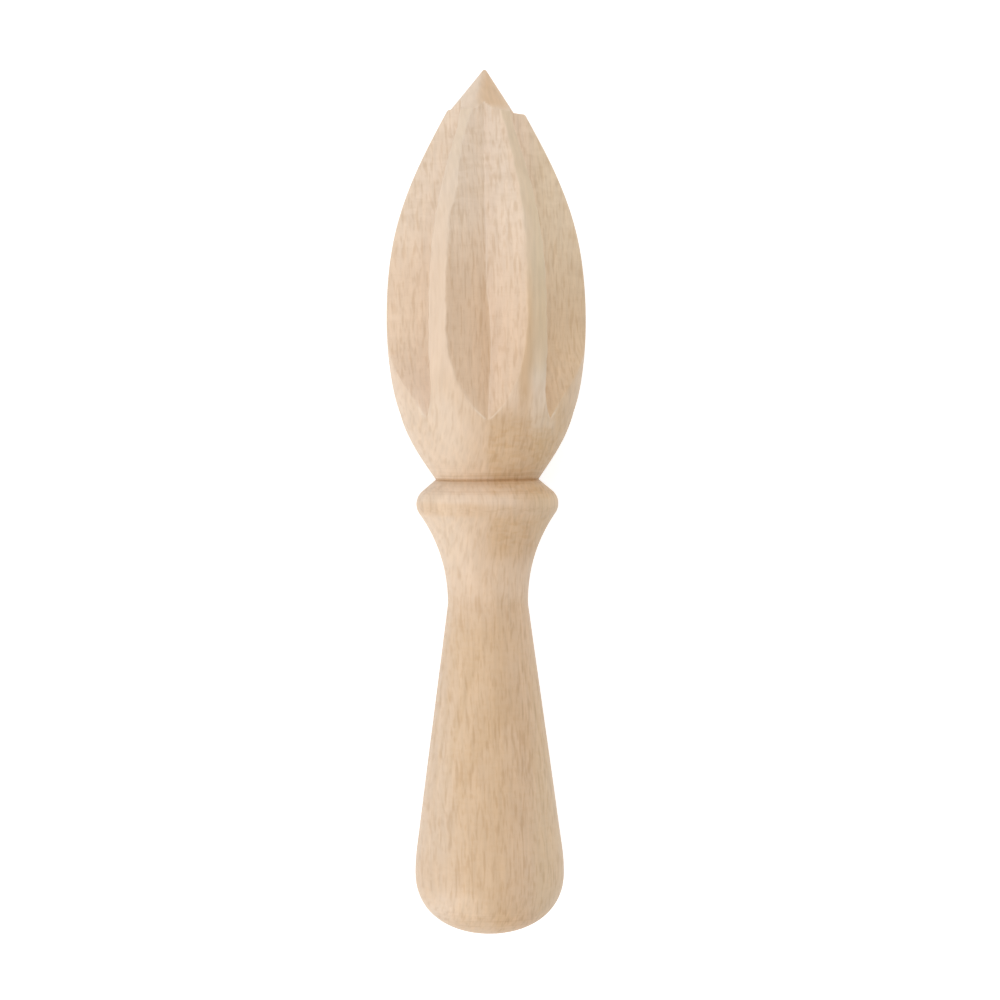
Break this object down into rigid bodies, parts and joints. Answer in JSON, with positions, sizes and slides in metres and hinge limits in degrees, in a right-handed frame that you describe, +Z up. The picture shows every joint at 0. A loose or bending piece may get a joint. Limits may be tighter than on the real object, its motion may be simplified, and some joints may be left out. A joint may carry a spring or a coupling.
{
  "type": "citrus reamer",
  "caption": "Hand-held wooden citrus reamer: a pointed, fluted head, a beaded collar and a tapered handle with a rounded butt, all turned from one piece of beech.",
  "frame": {"origin": "on the resting surface, under the middle of the reamer's box", "axes": "+Y from the butt to the point along the table, +Z up, +X to the right seen from above with the point away from you; the turning axis rises 1.6 degrees towards the point"},
  "size_m": [0.0392, 0.1698, 0.0358],
  "materials": {
    "beech": "bare fine-sanded beech, unvarnished"
  },
  "bodies": {
    "root": {"reamer": "beech"}
  },
  "joints": []
}
